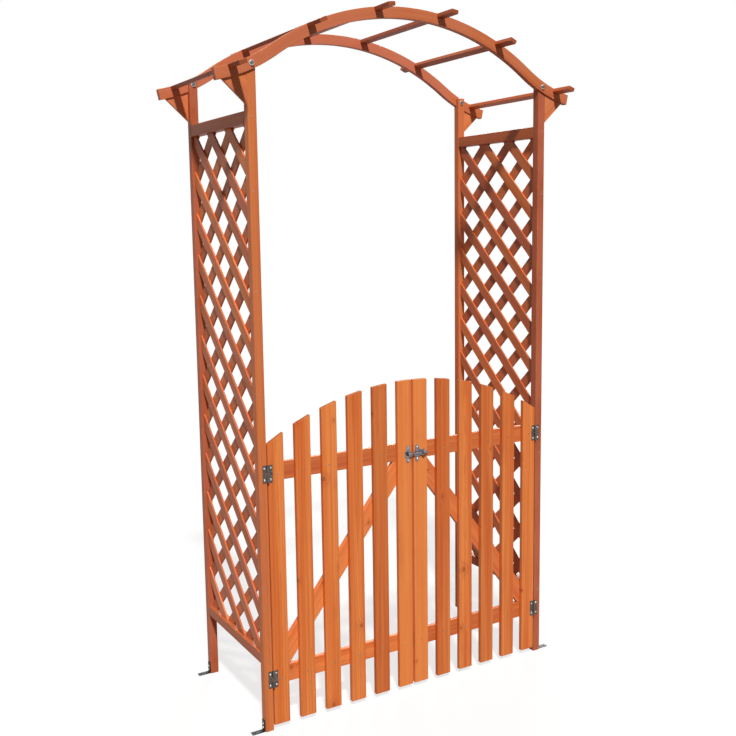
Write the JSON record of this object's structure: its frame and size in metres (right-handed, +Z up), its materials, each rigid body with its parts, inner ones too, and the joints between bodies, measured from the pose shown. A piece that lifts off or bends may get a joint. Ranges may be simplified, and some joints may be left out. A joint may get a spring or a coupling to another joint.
{
  "type": "garden rose arch with double-leaf gate",
  "caption": "Free-standing wooden rose arch with lattice sides, a curved slatted top and a double-leaf picket gate with hinges and a barrel bolt.",
  "frame": {"origin": "on the ground, at the centre of the arch's plan", "axes": "+Z up, +X across the passage, +Y along the passage to the back, the gate on the -Y side"},
  "size_m": [1.2498, 0.646, 2.1442],
  "materials": {
    "glazed_wood": "reddish-brown glaze on planed softwood",
    "zinc_steel": "bright zinc plating",
    "dark_steel": "dulled zinc plating"
  },
  "bodies": {
    "frame": {"post_front_left": "glazed_wood", "post_front_right": "glazed_wood", "post_back_left": "glazed_wood", "post_back_right": "glazed_wood", "top_rail_left": "glazed_wood", "top_rail_right": "glazed_wood", "bottom_rail_left": "glazed_wood", "bottom_rail_right": "glazed_wood", "lattice_left": "glazed_wood", "lattice_right": "glazed_wood", "arch_beam_front": "glazed_wood", "arch_beam_back": "glazed_wood", "gusset_front_left": "glazed_wood", "gusset_front_right": "glazed_wood", "gusset_back_left": "glazed_wood", "gusset_back_right": "glazed_wood", "cross_slat_1": "glazed_wood", "cross_slat_2": "glazed_wood", "cross_slat_3": "glazed_wood", "cross_slat_4": "glazed_wood", "cross_slat_5": "glazed_wood", "cross_slat_6": "glazed_wood", "arch_bolts": "zinc_steel", "foot_bracket_front_left": "dark_steel", "foot_bracket_front_right": "dark_steel", "foot_bracket_back_left": "dark_steel", "foot_bracket_back_right": "dark_steel", "hinge_post_plates_left": "dark_steel", "hinge_post_plates_right": "dark_steel"},
    "gate_left": {"gate_pickets_left": "glazed_wood", "gate_upper_rail_left": "glazed_wood", "gate_lower_rail_left": "glazed_wood", "gate_brace_left": "glazed_wood", "gate_hinge_plates_left": "dark_steel", "latch_keeper": "zinc_steel"},
    "gate_right": {"gate_pickets_right": "glazed_wood", "gate_upper_rail_right": "glazed_wood", "gate_lower_rail_right": "glazed_wood", "gate_brace_right": "glazed_wood", "gate_hinge_plates_right": "dark_steel", "latch_housing": "zinc_steel"},
    "latch_bolt_body": {"latch_bolt": "zinc_steel"}
  },
  "joints": [
    {"name": "gate_left_hinge", "type": "hinge", "parent": "frame", "child": "gate_left", "pos_m": [-0.4995, -0.2435, 0.162], "axis": [0, 0, -1], "range_deg": [0, 165]},
    {"name": "gate_right_hinge", "type": "hinge", "parent": "frame", "child": "gate_right", "pos_m": [0.4995, -0.2435, 0.162], "axis": [0, 0, 1], "range_deg": [0, 165]},
    {"name": "latch_slide", "type": "slide", "parent": "gate_right", "child": "latch_bolt_body", "axis": [-1, 0, 0], "range_m": [0, 0.012]}
  ]
}
